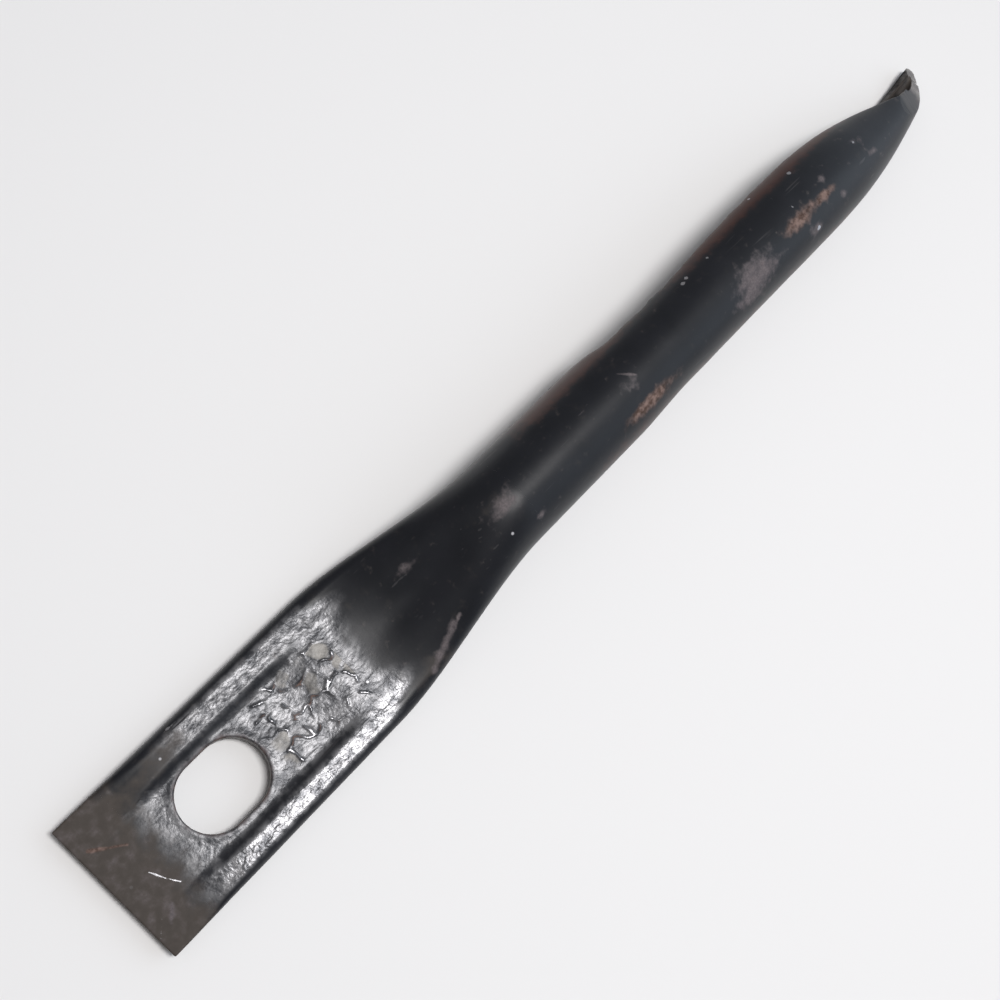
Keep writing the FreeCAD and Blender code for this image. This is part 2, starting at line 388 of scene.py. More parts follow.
worked_skin = skin_tree()
EDGE_END = stretch("pry_edge")[1]
BLADE_END = stretch("slotted_blade")[1]
blade_low, blade_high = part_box("slotted_blade")
RAIL_HEIGHT = (blade_high.z - blade_low.z) / MM
BLADE_WIDTH = (blade_high.y - blade_low.y) / MM
FOLD_R = RAIL_HEIGHT / 2
FLAT = BLADE_WIDTH - RAIL_HEIGHT


def enamel(name):
    """Black enamel that wrinkles, rubs down to brown steel, rusts and chips where a piece says.
    Where it wrinkles its colour is lifted to silver as a painted sheen, and the tube's flanks take
    a painted brown reflection.
    """
    made, tree, shader = material(name)
    place = node(tree, "ShaderNodeTexCoord").outputs["Object"]

    def share(attribute):
        return node(tree, "ShaderNodeAttribute", attribute_name=attribute).outputs["Fac"]

    def field(scale, detail=3.0, vector=place):
        return node(tree, "ShaderNodeTexNoise",
                    {"Vector": vector, "Scale": scale, "Detail": detail}).outputs["Fac"]

    def sums(operation, a, b):
        return node(tree, "ShaderNodeMath", {0: a, 1: b}, operation=operation).outputs[0]

    def between(value, low, high):
        return node(tree, "ShaderNodeMapRange",
                    {"Value": value, "From Min": low, "From Max": high},
                    interpolation_type="SMOOTHSTEP").outputs["Result"]

    def mixed(a, b, factor):
        return node(tree, "ShaderNodeMix", {0: factor, 6: a, 7: b}, data_type="RGBA").outputs[2]

    def number(a, b, factor):
        return node(tree, "ShaderNodeMix", {0: factor, 2: a, 3: b}, data_type="FLOAT").outputs[0]

    def broken(attribute, grain, spread, low, high):
        loose = sums("MULTIPLY", sums("SUBTRACT", grain, 0.5), spread)
        return between(sums("ADD", share(attribute), loose), low, high)

    fine = field(420, 6.0)
    coarse = field(90, 4.0)
    grit = field(1900, 2.0)
    rust = broken("rust", fine, 0.8, 0.22, 0.85)
    rubbed = broken("rubbed", field(260, 5.0), 1.3, 0.1, 0.9)
    tarnish = broken("tarnish", fine, 1.0, 0.1, 0.9)
    flaked = broken("flaked", fine, 1.1, 0.12, 0.95)
    dust = broken("dust", fine, 1.2, 0.2, 0.9)
    bright = broken("bright", fine, 1.4, 0.45, 0.65)
    crinkle = share("crinkle")

    cells = node(tree, "ShaderNodeTexVoronoi", {"Vector": place, "Scale": 170.0})
    dot = between(cells.outputs["Distance"], 0.09, 0.04)
    pick = node(tree, "ShaderNodeSeparateColor", {"Color": cells.outputs["Color"]}).outputs[0]
    speck = sums("MULTIPLY", dot, between(pick, 0.86, 0.88))
    drawn = node(tree, "ShaderNodeMapping",
                 {"Vector": place, "Rotation": (0, 0, 0.45), "Scale": (0.05, 1.0, 1.0)}).outputs[0]
    streak = between(field(900, 1.0, drawn), 0.69, 0.75)
    scratch = sums("MULTIPLY", streak, between(field(55, 1.0), 0.5, 0.6))

    black = mixed((0.005, 0.006, 0.008, 1), (0.012, 0.013, 0.017, 1), coarse)
    leaf = sums("ADD", sums("MULTIPLY", field(330, 3.0), 0.8), sums("MULTIPLY", grit, 0.2))
    painted_sheen_silver = mixed((0.06, 0.062, 0.068, 1), (0.27, 0.27, 0.28, 1), between(leaf, 0.36, 0.64))
    brown = mixed((0.036, 0.030, 0.026, 1), (0.070, 0.058, 0.050, 1), fine)
    grey = mixed((0.045, 0.040, 0.043, 1), (0.16, 0.135, 0.14, 1), grit)
    rusty = mixed((0.055, 0.032, 0.024, 1), (0.19, 0.13, 0.112, 1),
                  between(field(750, 4.0), 0.3, 0.7))
    beige = mixed((0.09, 0.085, 0.08, 1), (0.24, 0.23, 0.215, 1), between(leaf, 0.3, 0.6))
    # Painted sheen: where the enamel wrinkles its colour is lifted towards silver.
    base = mixed(black, painted_sheen_silver, crinkle)
    base = mixed(base, (0.03, 0.03, 0.033, 1), scratch)
    # Painted reflection: a brown tint on the tube's flanks.
    base = mixed(base, (0.045, 0.02, 0.016, 1), tarnish)
    base = mixed(base, brown, rubbed)
    base = mixed(base, beige, flaked)
    base = mixed(base, grey, dust)
    base = mixed(base, rusty, rust)
    base = mixed(base, (0.42, 0.42, 0.44, 1), bright)
    base = mixed(base, (0.4, 0.4, 0.42, 1), speck)
    tree.links.new(base, shader.inputs["Base Color"])

    gloss = number(0.3, 0.42, coarse)
    gloss = number(gloss, 0.3, crinkle)
    for worn, rough in ((rubbed, 0.6), (flaked, 0.45), (dust, 0.6), (rust, 0.8), (bright, 0.35)):
        gloss = number(gloss, rough, worn)
    tree.links.new(gloss, shader.inputs["Roughness"])
    # The painted sheen also makes the wrinkling enamel partly metallic.
    metal = sums("MAXIMUM", bright, sums("MULTIPLY", crinkle, 0.45))
    tree.links.new(metal, shader.inputs["Metallic"])
    shader.inputs["IOR"].default_value = 1.34

    creases = sums("ABSOLUTE", sums("SUBTRACT", field(800, 2.0), 0.5), 0.0)
    creases = sums("MULTIPLY", creases, sums("MULTIPLY", crinkle, 3.0))
    height = sums("ADD", sums("MULTIPLY", field(700, 3.0), 0.22), creases)
    crust = sums("MULTIPLY", sums("MAXIMUM", rust, dust), sums("MULTIPLY", fine, 0.7))
    height = sums("ADD", height, crust)
    relief = node(tree, "ShaderNodeBump",
                  {"Height": height, "Strength": 1.0, "Distance": ENAMEL_RELIEF})
    tree.links.new(relief.outputs[0], shader.inputs["Normal"])
    return made


def bare(name, dark, light, gloss, metal, grain):
    """Plain metal or scale with a mottled colour and a fine grain."""
    made, tree, shader = material(name)
    place = node(tree, "ShaderNodeTexCoord").outputs["Object"]
    mottle = node(tree, "ShaderNodeTexNoise",
                  {"Vector": place, "Scale": grain, "Detail": 6.0}).outputs["Fac"]
    ramp = node(tree, "ShaderNodeValToRGB", {"Fac": mottle})
    ramp.color_ramp.elements[0].position = 0.3
    ramp.color_ramp.elements[0].color = dark
    ramp.color_ramp.elements[1].position = 0.7
    ramp.color_ramp.elements[1].color = light
    tree.links.new(ramp.outputs["Color"], shader.inputs["Base Color"])
    rough = node(tree, "ShaderNodeMapRange",
                 {"Value": mottle, "To Min": gloss, "To Max": gloss + GLOSS_SPREAD})
    tree.links.new(rough.outputs["Result"], shader.inputs["Roughness"])
    shader.inputs["Metallic"].default_value = metal
    relief = node(tree, "ShaderNodeBump", {"Height": mottle, "Distance": METAL_RELIEF})
    tree.links.new(relief.outputs[0], shader.inputs["Normal"])
    return made


black_enamel = enamel("black_enamel")
bore_scale = bare("bore_scale", (0.012, 0.010, 0.009, 1), (0.05, 0.040, 0.033, 1),
                  0.6, 0.0, 300.0)
cut_steel = bare("cut_steel", (0.02, 0.018, 0.018, 1), (0.12, 0.115, 0.11, 1), 0.35, 0.6, 500.0)
finishes = {"Skin Finish": black_enamel, "Inside Finish": bore_scale, "Cut Finish": cut_steel}


def flat_ring():
    """Points (y, z) of the pressed section at full height, from +Y over the top and back under."""
    columns = np.linspace(FLAT / 2, -FLAT / 2, TOP_CELLS + 1)
    turns = np.linspace(0, math.pi, FOLD_CELLS + 1)[1:-1]
    fold_y = -FLAT / 2 - FOLD_R * np.sin(turns)
    fold_z = FOLD_R + FOLD_R * np.cos(turns)
    y = np.concatenate([columns, fold_y, columns[::-1], -fold_y[::-1]])
    z = np.concatenate([np.full(TOP_CELLS + 1, RAIL_HEIGHT), fold_z,
                        np.zeros(TOP_CELLS + 1), fold_z[::-1]])
    return y, z


def panel_drop(x, y):
    """How far the sunk panel lies below the rails. Its floor rises out towards the neck."""
    wall = PANEL_WIDTH / 2 - WALL_SPREAD / 2
    sunk = 1 - rise(np.abs(y - PANEL_SHIFT), wall - WALL_SPREAD, wall + WALL_SPREAD)
    return (RAIL_HEIGHT - FLOOR_HEIGHT) * sunk * (1 - rise(x, PANEL_RISE, PANEL_END))


def flakes(x, y):
    """Cracked enamel between slot and neck: shares for its raised cracks and its bare flakes."""
    shape = np.shape(x)
    places = np.stack([np.ravel(x), np.ravel(y), np.zeros(np.size(x))], -1)
    crack, bare_flake = np.zeros(len(places)), np.zeros(len(places))
    near = ((np.abs(places[:, 0] - (FLAKE_START + FLAKE_END) / 2) < FLAKE_REACH[0])
            & (np.abs(places[:, 1]) < FLAKE_REACH[1]))
    spot = places[near]
    bend = np.stack([ripple(spot, 2.2, 5.5), ripple(spot, 2.2, 9.1), 0 * spot[:, 0]], -1)
    spot = spot + FLAKE_BEND * bend
    chance = np.random.default_rng(FLAKE_SEED)
    loose_by = (-FLAKE_SCATTER, FLAKE_SCATTER)
    centres = [(cx + chance.uniform(*loose_by), cy + chance.uniform(*loose_by))
               for cx in np.arange(FLAKE_START - 5, FLAKE_END + 6, FLAKE_SPACING)
               for cy in np.arange(-FLAKE_REACH[1], FLAKE_REACH[1] + 1, FLAKE_SPACING)]
    gaps = np.stack([np.hypot(spot[:, 0] - cx, spot[:, 1] - cy) for cx, cy in centres], -1)
    order = np.sort(gaps, -1)
    cell = np.argmin(gaps, -1)
    loose = chance.random(len(centres)) * (chance.random(len(centres)) < 0.5)
    region = (rise(spot[:, 0], FLAKE_START - 2, FLAKE_START + 1)
              * (1 - rise(spot[:, 0], FLAKE_END - 3, FLAKE_END))
              * (1 - rise(np.abs(spot[:, 1]), FLAKE_HALF_WIDTH - 1, FLAKE_HALF_WIDTH + 1)))
    kept = rise(ripple(spot, 3.6, 31.3), -0.12, 0.02)
    crack[near] = bell(order[:, 1] - order[:, 0], 0, 0.55) * kept * region
    bare_flake[near] = loose[cell] * rise(order[:, 1] - order[:, 0], 0.2, 1.6) * region
    return crack.reshape(shape), bare_flake.reshape(shape)


def below_ramp(x, z):
    """Heights kept under the slope that thins the blade towards its end."""
    slope = (FLOOR_HEIGHT - EDGE_THICKNESS) / EDGE_END
    ramp = FLOOR_HEIGHT + (x - EDGE_END) * np.where(x < EDGE_END, slope, RAMP_SLOPE)
    return (z + ramp - np.hypot(z - ramp, RAMP_BLEND)) / 2


def face_height(x, y):
    """Height of the pressed face: rails, sunk panel and blistered enamel."""
    pressed = below_ramp(x, RAIL_HEIGHT - panel_drop(x, y))
    return pressed + FLAKE_LIFT * (flakes(x, y)[0] - FLAKE_SINK)


def plate_rings(stations):
    """Rings of the pressed plate, sunk panel included."""
    y, z = flat_ring()
    x = np.repeat(stations[:, None], len(y), 1)
    y = np.repeat(y[None], len(stations), 0)
    z = np.repeat(z[None], len(stations), 0)
    z = np.where(z > FOLD_R, below_ramp(x, z), z)
    z[:, :TOP_CELLS + 1] = face_height(x[:, :TOP_CELLS + 1], y[:, :TOP_CELLS + 1])
    inset = EDGE_ROUND - np.sqrt(EDGE_ROUND**2 - np.clip(EDGE_ROUND - x, 0, None) ** 2)
    y = y * (1 - 2 * inset / BLADE_WIDTH)
    z = FOLD_R / 2 + (z - FOLD_R / 2) * (1 - inset / FOLD_R)
    return np.stack([x, y, z], -1)


def wrinkle_and_sheen_share(points):
    """Share of wrinkling and of its painted silver sheen: the pressed faces, but not their folds,
    slopes or rubbed end.
    """
    x, y = points[:, 0], points[:, 1]
    limit = WRINKLE_END + 5 * bell(np.abs(y), 12, 4) - 4 * rise(np.abs(y), 14, 17)
    limit = limit + 1.5 * ripple(points, 4.0, 2.2)
    # The share, and with it the painted sheen, starts later and is weaker on the +Y rail, thins on
    # the panel's side slopes and is halved underneath.
    start = np.where(y > 11, 24.0, 9.0)
    share = rise(x, start, start + 14) * (1 - rise(x, limit - 4, limit + 3))
    share = share * (1 - rise(np.abs(y), 17.2, 18.6))
    wall = PANEL_WIDTH / 2 - WALL_SPREAD / 2
    slope = bell(np.abs(y - PANEL_SHIFT), wall, 1.3)
    share = share * (1 - 0.93 * slope * rise(x, 16, 24) * (1 - rise(x, PANEL_RISE + 2, PANEL_END)))
    share = share * (0.7 + 0.3 * rise(np.abs(y), wall, wall + WALL_SPREAD))
    share = share * (1 - 0.5 * flakes(x, y)[1])
    share = share * (1 - 0.3 * rise(y, 11, 13))
    return share * np.where(points[:, 2] > FOLD_R, 1.0, 0.5)


edge = Skin()
turns = np.linspace(0, math.pi / 2, 5)
steps = round((EDGE_END - EDGE_ROUND) / PLATE_STEP)
stations = np.concatenate([EDGE_ROUND * (1 - np.cos(turns))[:-1],
                           np.linspace(EDGE_ROUND, EDGE_END, steps + 1)])
rings = plate_rings(stations)
grid = edge.add(rings)
edge.quads(np.hstack([grid, grid[:, :1]]), SKIN)
edge.polygon(grid[-1], JOIN)
UNDER_START = TOP_CELLS + FOLD_CELLS
UNDER_END = UNDER_START + TOP_CELLS
top = rings[0, :TOP_CELLS + 1]
bottom = rings[0, UNDER_START:UNDER_END + 1][::-1]
rows = []
for share in SEAM_ROWS:
    row = top * (1 - share) + bottom * share
    fade = 1 - rise(np.abs(row[:, 1]), 14.0, FLAT / 2)
    row[:, 0] = SEAM_DEPTH * bell(share, 0.5, 0.035) * fade
    rows.append(row)
face = edge.add(np.array(rows))
face = np.vstack([grid[0, :TOP_CELLS + 1], face, grid[0, UNDER_START:UNDER_END + 1][::-1]])
edge.quads(face, SKIN)
edge.polygon(np.concatenate([grid[0, TOP_CELLS:UNDER_START + 1], face[1:-1, -1][::-1]]), SKIN)
edge.polygon(np.concatenate([grid[0, UNDER_END:], grid[0, :1], face[1:-1, 0]]), SKIN)


def blade_wear_and_sheen(points):
    """Wear that runs on from the end into the blade: rubbed end, scratches, dulled +Y rail; also
    the wrinkling with its painted sheen.
    """
    x, y = points[:, 0], points[:, 1]
    rubbed = 1.1 * (1 - rise(x + 0.12 * np.abs(y), 5, 23))
    rubbed = rubbed + 0.5 * bell(y, 14.5, 3.0) * (1 - rise(x, 28, 50))
    return {
        "crinkle": wrinkle_and_sheen_share(points),
        "rubbed": rubbed,
        "rust": scratches(points, TAN_SCRATCHES),
        "bright": scratches(points, BRIGHT_SCRATCHES),
        "dust": scratches(points, DULL_SCRATCHES) + 0.3 * (1 - rise(x, 8, 20)),
    }


edge.piece("pry_edge_visual", "pry_edge", blade_wear_and_sheen, finishes, "worn_steel")

# The slotted blade: the tube pressed flat, with a sunk panel that leaves a rail along each fold
# and an oval slot punched through both walls. The enamel on the pressed faces has crinkled up and
# carries a painted silver sheen.
mounts = {m["name"]: m for m in frame["record"]["mounts"]}
SLOT_X = (mounts["pull_slot"]["pos_m"][0] - blade_end) / MM
SLOT_WIDTH = 17.8
SLOT_LENGTH = 23.6
SLOT_ROUND = 0.5
LIP_HEIGHT = 0.16
PATCH_HALF = (61, 52)
LIP_OFFSETS = (0.0, 0.12, 0.28, 0.5, 0.75, 1.05, 1.4, 1.8, 2.2)
OUTER_RINGS = 6
WALL_ROWS = 12

blade = Skin()
steps = round((BLADE_END - EDGE_END) / PLATE_STEP)
stations = np.linspace(EDGE_END, BLADE_END, steps + 1)
rings = plate_rings(stations)
row = round((SLOT_X - EDGE_END) / (BLADE_END - EDGE_END) * steps)
column = TOP_CELLS // 2
first_row, last_row = row - PATCH_HALF[0], row + PATCH_HALF[0]
first_column, last_column = column - PATCH_HALF[1], column + PATCH_HALF[1]
grid = blade.add(rings)
closed = np.hstack([grid, grid[:, :1]])
under = 2 * TOP_CELLS + FOLD_CELLS
skip = np.zeros((steps, closed.shape[1] - 1), bool)
skip[first_row:last_row, first_column:last_column] = True
skip[first_row:last_row, under - last_column:under - first_column] = True
blade.quads(closed, SKIN, skip)
blade.polygon(grid[0], JOIN)
blade.polygon(grid[-1], JOIN)


def patch_rim(columns):
    """Numbers of the grid points round the patch, in order."""
    low, high = columns[0], columns[-1]
    rows_up = np.arange(first_row, last_row + 1)
    return np.concatenate([grid[rows_up, low], grid[last_row, columns[1:]],
                           grid[rows_up[::-1][1:], high], grid[first_row, columns[::-1][1:-1]]])


def rounded_over(distance):
    """How far the slot's rounded edge drops at a distance from the slot."""
    inside = np.clip(SLOT_ROUND - distance, 0, None)
    return SLOT_ROUND - np.sqrt(np.clip(SLOT_ROUND**2 - inside**2, 0, None))


def top_height(x, y, distance):
    """Height of the panel near the slot: a raised lip that rounds over into the slot."""
    z = face_height(x, y)
    z = z + LIP_HEIGHT * bell(distance, 0.9, 0.9) * rise(x, 16, 22)
    return z - rounded_over(distance)


def slot_patch(rim, upper):
    """Rings from the patch's rim in to the slot's edge. Returns the numbers of the last one."""
    points = np.array([blade.points[n] for n in rim])
    reach = (SLOT_LENGTH - SLOT_WIDTH) / 2
    core_x = np.clip(points[:, 0], SLOT_X - reach, SLOT_X + reach)
    core = np.stack([core_x, np.zeros(len(points))], -1)
    away = points[:, :2] - core
    length = np.linalg.norm(away, axis=1)
    away /= length[:, None]
    room = length - SLOT_WIDTH / 2
    offsets = [np.full(len(points), d) for d in LIP_OFFSETS]
    for k in range(1, OUTER_RINGS):
        offsets.append(LIP_OFFSETS[-1] + (room - LIP_OFFSETS[-1]) * k / OUTER_RINGS)
    loops = [rim]
    for distance in offsets[::-1]:
        x, y = (core + away * (SLOT_WIDTH / 2 + distance)[:, None]).T
        if upper:
            z = top_height(x, y, distance)
        else:
            z = rounded_over(distance)
        loops.append(blade.add(np.stack([x, y, z], -1)))
    loops = np.array(loops)
    blade.quads(np.hstack([loops, loops[:, :1]]), SKIN)
    return loops[-1]


top_rim = patch_rim(np.arange(first_column, last_column + 1))
bottom_rim = patch_rim(under - np.arange(first_column, last_column + 1))
upper_edge = slot_patch(top_rim, True)
lower_edge = slot_patch(bottom_rim, False)
upper_points = np.array([blade.points[n] for n in upper_edge])
lower_points = np.array([blade.points[n] for n in lower_edge])
wall = [upper_edge]
for k in range(1, WALL_ROWS):
    wall.append(blade.add(upper_points + (lower_points - upper_points) * k / WALL_ROWS))
wall.append(lower_edge)
wall = np.array(wall)
blade.quads(np.hstack([wall, wall[:, :1]]), CUT)


def blade_marks(points):
    """Wrinkled faces with their painted sheen, rubbed end, rust round the slot and along the
    cracked enamel.
    """
    x, y, z = points.T
    reach = (SLOT_LENGTH - SLOT_WIDTH) / 2
    core = np.clip(x, SLOT_X - reach, SLOT_X + reach)
    distance = np.hypot(x - core, y) - SLOT_WIDTH / 2
    marks = blade_wear_and_sheen(points)
    crack, bare_flake = flakes(x, y)
    crack, bare_flake = crack * (z > FOLD_R), bare_flake * (z > FOLD_R)
    rusting = rise(ripple(points, 5.0, 44.0), -0.05, 0.25)
    marks["crinkle"] = marks["crinkle"] * (1 - 0.4 * bell(distance, 0.0, 0.9))
    marks["rust"] = marks["rust"] + 0.5 * bell(distance, 0.1, 0.4) + 0.9 * crack * rusting
    marks["bright"] = marks["bright"] + 0.7 * crack * (1 - 0.8 * rusting)
    marks["dust"] = marks["dust"] + 0.5 * bell(distance, 0.6, 0.6)
    marks["flaked"] = 0.8 * bare_flake
    return marks


blade.piece("slotted_blade_visual", "slotted_blade", blade_marks, finishes, "black_enamel")

# The neck: the pressed section opens out into the round tube between two ridges, with a hollow
# between them. It is one with the blade and the shank, and its bore closes towards the blade.
DENT_DEPTH = 2.6
DENT_HALF_WIDTH = 6.5
NECK_STEP = 0.35
CAVITY_STATIONS = (94.0, 104.0, 116.0, 130.0)
CAVITY_HALF_WIDTHS = (8.0, 10.0, 10.3, 10.2)
CAVITY_HALF_HEIGHTS = (0.6, 2.8, 7.0, 10.2)
CAVITY_CENTRES = (3.6, 6.4, 10.2, 12.7)
CAVITY_RINGS = 19
SMUDGES = ((125, 0, 5.0, 2.6, 0.75), (222, -4.5, 9.5, 4.6, 0.85), (247, -7.5, 4.0, 1.8, 0.7),
           (214, -7.5, 5.0, 1.4, 0.5), (281, -3.5, 2.5, 1.0, 0.8), (262, -6.0, 1.6, 1.2, 0.7),
           (258, 1.5, 1.5, 1.8, 0.55), (100, 6.0, 3.0, 1.6, 0.5), (172, -1.0, 6.0, 2.5, 0.4),
           (278, 2.2, 4.0, 2.5, 0.4), (131, -8.5, 2.0, 0.8, 0.6))
SCUFFS = ((88.0, -16.6, 98.5, -12.0, 1.2, 0.75), (98.0, -13.0, 101.0, -11.2, 0.5, 0.7),
          (171.0, 3.0, 174.5, -0.5, 0.3, 0.6), (155.0, 2.2, 159.0, 2.8, 0.25, 0.5))
RUBBED_PATCHES = ((90, -15.5, 6.0, 2.2, 0.6), (125, 0, 4.5, 3.0, 0.3))
RUST_PATCHES = ((174, -8.0, 11.0, 1.9, 0.85), (243, -2.4, 7.5, 2.4, 0.85),
                (255.5, -2.4, 5.0, 1.5, 0.8), (222, -4.0, 7.0, 2.5, 0.3))
CHIPS = ((204.4, 7.6, 0.7, 0.6, 0.9), (206.5, 8.2, 0.6, 0.6, 0.9), (215, 7.9, 0.7, 0.7, 0.8),
         (253, 8.8, 0.8, 0.6, 1.0), (242, 6.7, 1.0, 1.4, 0.55), (243.8, 2.2, 1.0, 1.8, 0.55),
         (277, 2.2, 1.4, 1.4, 0.5), (248, -7.8, 1.2, 0.8, 0.6))
tube_low, tube_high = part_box("tube_shank")
TUBE_R = (tube_high.z - tube_low.z) / 2 / MM
WALL = 2.5
NECK_END = stretch("neck")[1]


def curve_through(stations, values, x):
    """Smooth curve through values at stations, read at x."""
    stations, values = np.asarray(stations, float), np.asarray(values, float)
    slopes = np.gradient(values, stations, axis=0)
    i = np.clip(np.searchsorted(stations, x) - 1, 0, len(stations) - 2)
    gap = (stations[i + 1] - stations[i])[:, None]
    t = ((x - stations[i])[:, None]) / gap
    shape = values.reshape(len(stations), -1)
    slope = slopes.reshape(len(stations), -1)
    return (shape[i] * (1 + 2 * t) * (1 - t) ** 2 + shape[i + 1] * t * t * (3 - 2 * t)
            + slope[i] * gap * t * (1 - t) ** 2 - slope[i + 1] * gap * t * t * (1 - t))


flat_y, flat_z = flat_ring()
lengths = np.hypot(np.diff(flat_y, append=flat_y[0]), np.diff(flat_z, append=flat_z[0]))
QUARTER_FOLD = math.pi * FOLD_R / 2
fractions = (QUARTER_FOLD + np.concatenate([[0], np.cumsum(lengths)[:-1]])) / lengths.sum()
neck = Skin()
stations = np.linspace(BLADE_END, NECK_END, round((NECK_END - BLADE_END) / NECK_STEP) + 1)
share = rise(stations, BLADE_END, NECK_END)[:, None]
angle = 2 * math.pi * fractions[None]
y = (1 - share) * flat_y + share * TUBE_R * np.cos(angle)
z = (1 - share) * flat_z + share * (TUBE_R + TUBE_R * np.sin(angle))
dent = DENT_DEPTH * np.sin(math.pi * share) * bell(y, 0, DENT_HALF_WIDTH)
z = z - np.where(np.sin(angle) > 0, dent, 0)
outer = neck.add(np.stack([np.repeat(stations[:, None], y.shape[1], 1), y, z], -1))
neck.quads(np.hstack([outer, outer[:, :1]]), SKIN)
neck.polygon(outer[0], JOIN)
inner_stations = np.linspace(CAVITY_STATIONS[0], NECK_END, CAVITY_RINGS)
cavity = np.stack([CAVITY_HALF_WIDTHS, CAVITY_HALF_HEIGHTS, CAVITY_CENTRES], -1)
sizes = curve_through(CAVITY_STATIONS, cavity, inner_stations)
y = sizes[:, :1] * np.cos(angle)
z = sizes[:, 2:] + sizes[:, 1:2] * np.sin(angle)
inner = neck.add(np.stack([np.repeat(inner_stations[:, None], y.shape[1], 1), y, z], -1))
neck.quads(np.hstack([inner, inner[:, :1]]), INSIDE)
neck.polygon(inner[0], INSIDE)
mouth = np.stack([outer[-1], inner[-1]])
neck.quads(np.hstack([mouth, mouth[:, :1]]), JOIN)


def bar_wear_and_reflection(points):
    """Smudges, rust patches and a painted brown reflection along the flanks of the neck, tube and
    scoop.
    """
    x, y, z = points.T
    return {
        "dust": spots(points, SMUDGES) + scratches(points, SCUFFS),
        "rubbed": spots(points, RUBBED_PATCHES),
        "rust": spots(points, RUST_PATCHES),
        "bright": spots(points, CHIPS) * (z > TUBE_R),
        # Painted brown reflection along the flanks: strong on the +Y side, weaker on the -Y side.
        "tarnish": 0.9 * rise(y, 7.0, 11.0) * rise(x, 135, 150) * (1 - 0.8 * bell(x, 195, 12))
                   + 0.5 * rise(-y, 9.5, 11.8) * rise(x, 140, 160),
    }


def neck_marks(points):
    """Wrinkles and their painted sheen that die out past the blade, and the bar's wear with its
    painted flank reflection.
    """
    return {"crinkle": wrinkle_and_sheen_share(points), **bar_wear_and_reflection(points)}


neck.piece("neck_visual", "neck", neck_marks, finishes, "black_enamel")

# The tube shank: plain round tube. The slit on its left side starts here as a point.
SLIT_START = 160.0
TUBE_STEP = 0.5
CUT_ROUND = 0.5
ARC_CELLS = 150
TROUGH_START, TROUGH_END = stretch("scoop_trough")
TUBE_ROWS = [
    (NECK_END, -12.7, 0.0, 25.4, 0.0, 0, 360, WALL),
    (145.0, -12.7, 0.0, 25.4, 0.0, 0, 360, WALL),
    (SLIT_START, -12.7, 0.0, 25.4, 0.0, 0, 360, WALL),
    (166.0, -12.7, 0.0, 25.4, 0.0, 6, 354, WALL),
    (TROUGH_START, -12.65, 0.0, 25.4, 0.0, 16, 344, WALL),
    (177.0, -12.4, 0.0, 25.4, 0.0, 26, 338, WALL),
    (184.0, -12.0, 0.1, 25.4, 0.0, 27, 333, WALL),
    (200.0, -11.8, 0.3, 25.4, 0.0, 29, 327, WALL),
    (225.0, -11.7, 1.0, 25.4, 0.0, 29, 319, WALL),
    (245.0, -11.7, 1.2, 24.9, 0.0, 29, 316, WALL),
    (TROUGH_END, -11.6, 1.1, 23.4, 0.0, 29, 315, WALL),
    (275.0, -11.0, 0.7, 21.0, 0.0, 30, 313, WALL),
    (288.0, -9.6, 0.1, 17.6, 0.0, 32, 314, WALL),
    (301.0, -7.4, 0.0, 14.0, 0.1, 51, 313, 3.3),
    (314.0, -4.6, 1.2, 10.5, 0.5, 93, 322, 5.2),
    (327.0, -0.8, 3.3, 8.6, 1.3, 140, 344, 4.6),
]


def slit_tube(start, end):
    """Tube with a slit along its left side, its cut edges wavy and rounded over."""
    made = Skin()
    stations = np.linspace(start, end, round((end - start) / TUBE_STEP) + 1)
    table = np.array(TUBE_ROWS)
    rows = curve_through(table[:, 0], table[:, 1:], stations)
    opened = np.clip(rows[:, 4], 0, None) * rise(stations, SLIT_START, SLIT_START + 3)
    fold_y, middle_y, top, bottom, _, lower, fold_wall = rows.T
    rough = rise(stations, SLIT_START + 6, 178) * (1 - 0.7 * rise(stations, 225, 250))
    places = [(x, 0, 0) for x in stations]
    wave = 2.6 * ripple(places, 5.0, 3.1) + 1.3 * ripple(places, 1.9, 8.4)
    upper = np.where(stations <= SLIT_START, 0, opened + rough * wave)
    lower = np.where(stations <= SLIT_START, 360, lower + 0.6 * rough * ripple(places, 6.0, 21.7))
    gap = np.clip(np.radians(upper) * TUBE_R, 0, CUT_ROUND)
    turns = np.linspace(0, math.pi / 2, 4)
    faces = []
    for inside in (False, True):
        share = np.linspace(0, 1, ARC_CELLS + 1)[None]
        angles = np.radians(upper[:, None] + (lower - upper)[:, None] * share)
        sunk = np.zeros_like(angles)
        corner = gap[:, None] * (1 - np.cos(turns))[None] / TUBE_R
        drop = gap[:, None] * (1 - np.sin(turns))[None]
        for k in range(len(turns)):
            angles[:, k] = np.radians(upper) + corner[:, k]
            angles[:, -1 - k] = np.radians(lower) - corner[:, k]
            sunk[:, k] = sunk[:, -1 - k] = drop[:, k]
        inset = (WALL - sunk) if inside else sunk
        fold_inset = (fold_wall[:, None] - sunk) if inside else sunk
        half_width = (middle_y - fold_y)[:, None] - (inset + fold_inset) / 2
        half_height = ((top - bottom) / 2)[:, None] - inset
        y = (middle_y[:, None] + (fold_inset - inset) / 2) + half_width * np.cos(angles)
        z = ((top + bottom) / 2)[:, None] + half_height * np.sin(angles)
        x = np.repeat(stations[:, None], y.shape[1], 1)
        faces.append(made.add(np.stack([x, y, z], -1)))
    outer, inner = faces
    made.quads(outer, SKIN)
    made.quads(inner, INSIDE)
    made.quads(np.stack([outer[0], inner[0]]), JOIN)
    made.quads(np.stack([outer[-1], inner[-1]]), JOIN)
    cut = stations[:-1] >= SLIT_START - 1e-6
    for side in (0, -1):
        made.quads(np.stack([outer[:, side], inner[:, side]], -1), CUT, ~cut[:, None])
    return made


